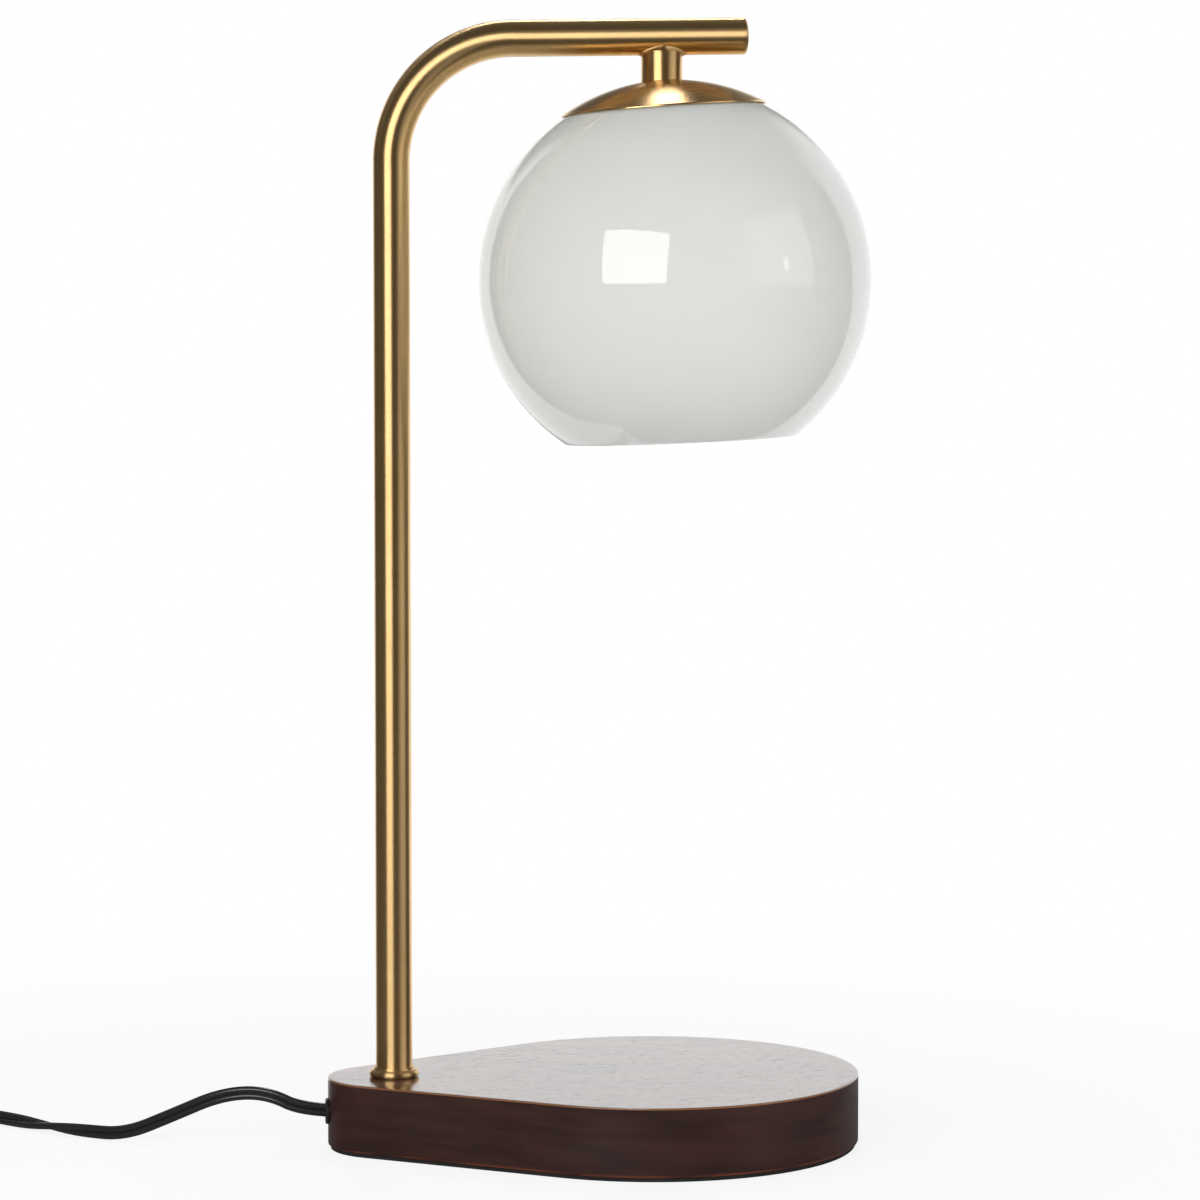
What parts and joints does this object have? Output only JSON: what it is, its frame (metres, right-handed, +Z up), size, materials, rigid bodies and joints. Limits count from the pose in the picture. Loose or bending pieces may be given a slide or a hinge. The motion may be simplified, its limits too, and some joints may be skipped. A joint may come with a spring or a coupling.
{
  "type": "table lamp",
  "caption": "Table lamp with a bent brass post and arm on a teardrop wooden base, an open-bottomed opal glass globe under a domed cap, and a cord with a rotary switch and plug.",
  "frame": {"origin": "on the surface the lamp stands on, under the axis of the post", "axes": "+Z up, +X from the post along the arm towards the globe, +Y away from the front"},
  "size_m": [0.5159, 0.1896, 0.4938],
  "materials": {
    "wood_core": "dark espresso lacquer, satin",
    "wood_veneer": "open-pored dark veneer, satin lacquer",
    "foam_pad": "matt black foam",
    "steel": "zinc plated",
    "black_vinyl": "satin black vinyl",
    "black_plastic": "moulded black plastic",
    "brushed_brass": "satin brushed antique brass, lacquered",
    "plain_brass": "plain brass, machined",
    "opal_glass": "glossy cased opal",
    "black_phenolic": "moulded black phenolic",
    "porcelain": "glazed white porcelain",
    "frosted_glass": "frosted",
    "dark_glass": "gloss"
  },
  "bodies": {
    "lamp": {"base_block": "wood_core", "top_veneer": "wood_veneer", "bottom_pad": "foam_pad", "base_weight": "steel", "weight_screws": "steel", "foot_washer": "steel", "lock_washer": "steel", "switch_axle": "steel", "switch_screws": "steel", "cord_bushing": "black_vinyl", "cord_lead": "black_vinyl", "cord_tail": "black_vinyl", "cord_coil": "black_vinyl", "plug_lead": "black_vinyl", "supply_wires": "black_vinyl", "switch_lower": "black_plastic", "switch_upper": "black_plastic", "plug_body": "black_plastic", "arm_tube": "brushed_brass", "arm_end_plug": "brushed_brass", "saddle_bead": "brushed_brass", "stem": "brushed_brass", "shade_cap": "brushed_brass", "foot_collar": "brushed_brass", "foot_pipe": "plain_brass", "foot_nut": "plain_brass", "foot_insert": "plain_brass", "head_pipe": "plain_brass", "cap_nut": "plain_brass", "screw_contact": "plain_brass", "centre_contact": "plain_brass", "plug_blades": "plain_brass", "holder_cap": "black_phenolic", "holder_skirt": "black_phenolic", "terminal_block": "porcelain"},
    "globe": {"opal_globe": "opal_glass"},
    "ring": {"shade_ring": "black_phenolic"},
    "bulb": {"bulb_envelope": "frosted_glass", "bulb_cap": "plain_brass", "bulb_insulator": "dark_glass", "bulb_tip": "plain_brass"},
    "dial": {"switch_dial": "black_plastic"}
  },
  "joints": [
    {"name": "globe_drop", "type": "slide", "parent": "lamp", "child": "globe", "axis": [0.0698, 0, -0.9976], "range_m": [0, 0.12]},
    {"name": "ring_turn", "type": "hinge", "parent": "globe", "child": "ring", "pos_m": [0.11879, 0, 0.45319], "axis": [0.0698, 0, -0.9976], "continuous": true},
    {"name": "bulb_out", "type": "slide", "parent": "lamp", "child": "bulb", "axis": [0.0698, 0, -0.9976], "range_m": [0, 0.13]},
    {"name": "dial_turn", "type": "hinge", "parent": "lamp", "child": "dial", "pos_m": [-0.2395, 0.0845, 0.007], "axis": [0, 0, 1], "continuous": true}
  ]
}
